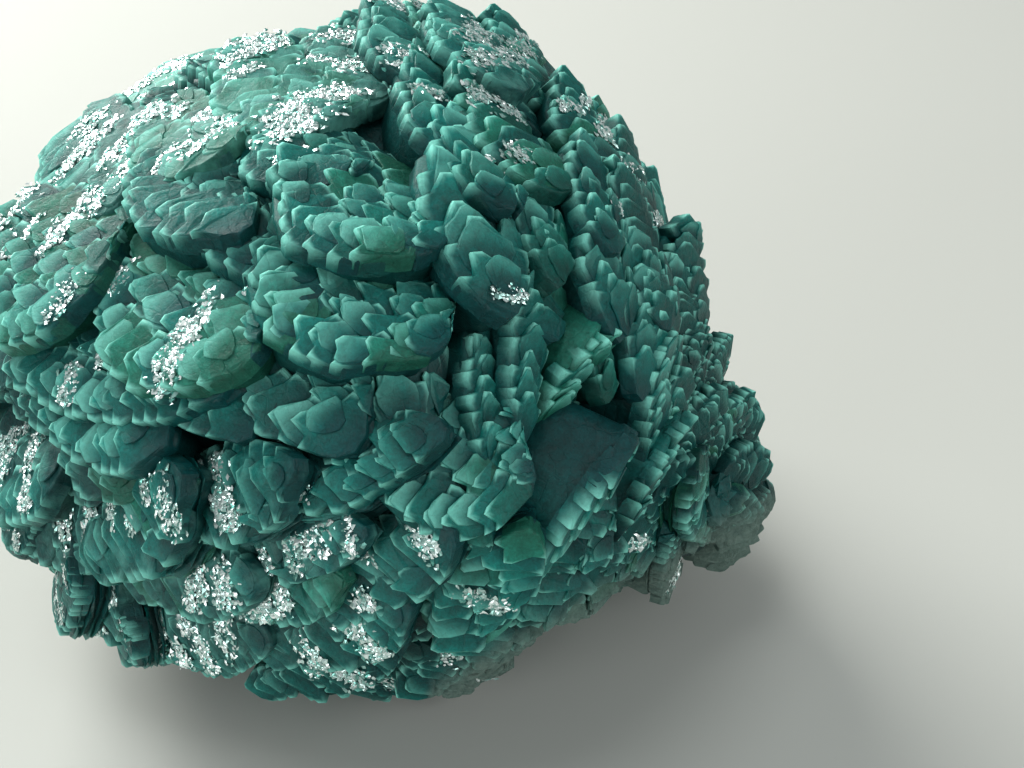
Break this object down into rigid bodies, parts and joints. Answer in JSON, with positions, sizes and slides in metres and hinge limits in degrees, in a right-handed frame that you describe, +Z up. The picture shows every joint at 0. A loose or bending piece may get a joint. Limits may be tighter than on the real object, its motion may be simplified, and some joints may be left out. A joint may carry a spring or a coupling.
{
  "type": "heulandite crystal cluster",
  "caption": "Ball-shaped cluster of green heulandite: overlapping coffin-shaped crystals in stacked sheaves, cut off flat underneath so that it rests on a table.",
  "frame": {"origin": "middle of the ball's footprint, on the flat base that it rests on", "axes": "+Z up from the flat base, -Y towards the display side with the deep cleft, +X to the right as seen from there"},
  "size_m": [0.0648, 0.0579, 0.0525],
  "materials": {
    "heulandite_green": "waxy, slightly translucent green crystal faces, paler on their thin rims and dark in the clefts"
  },
  "bodies": {
    "root": {"heulandite_cluster": "heulandite_green"}
  },
  "joints": []
}
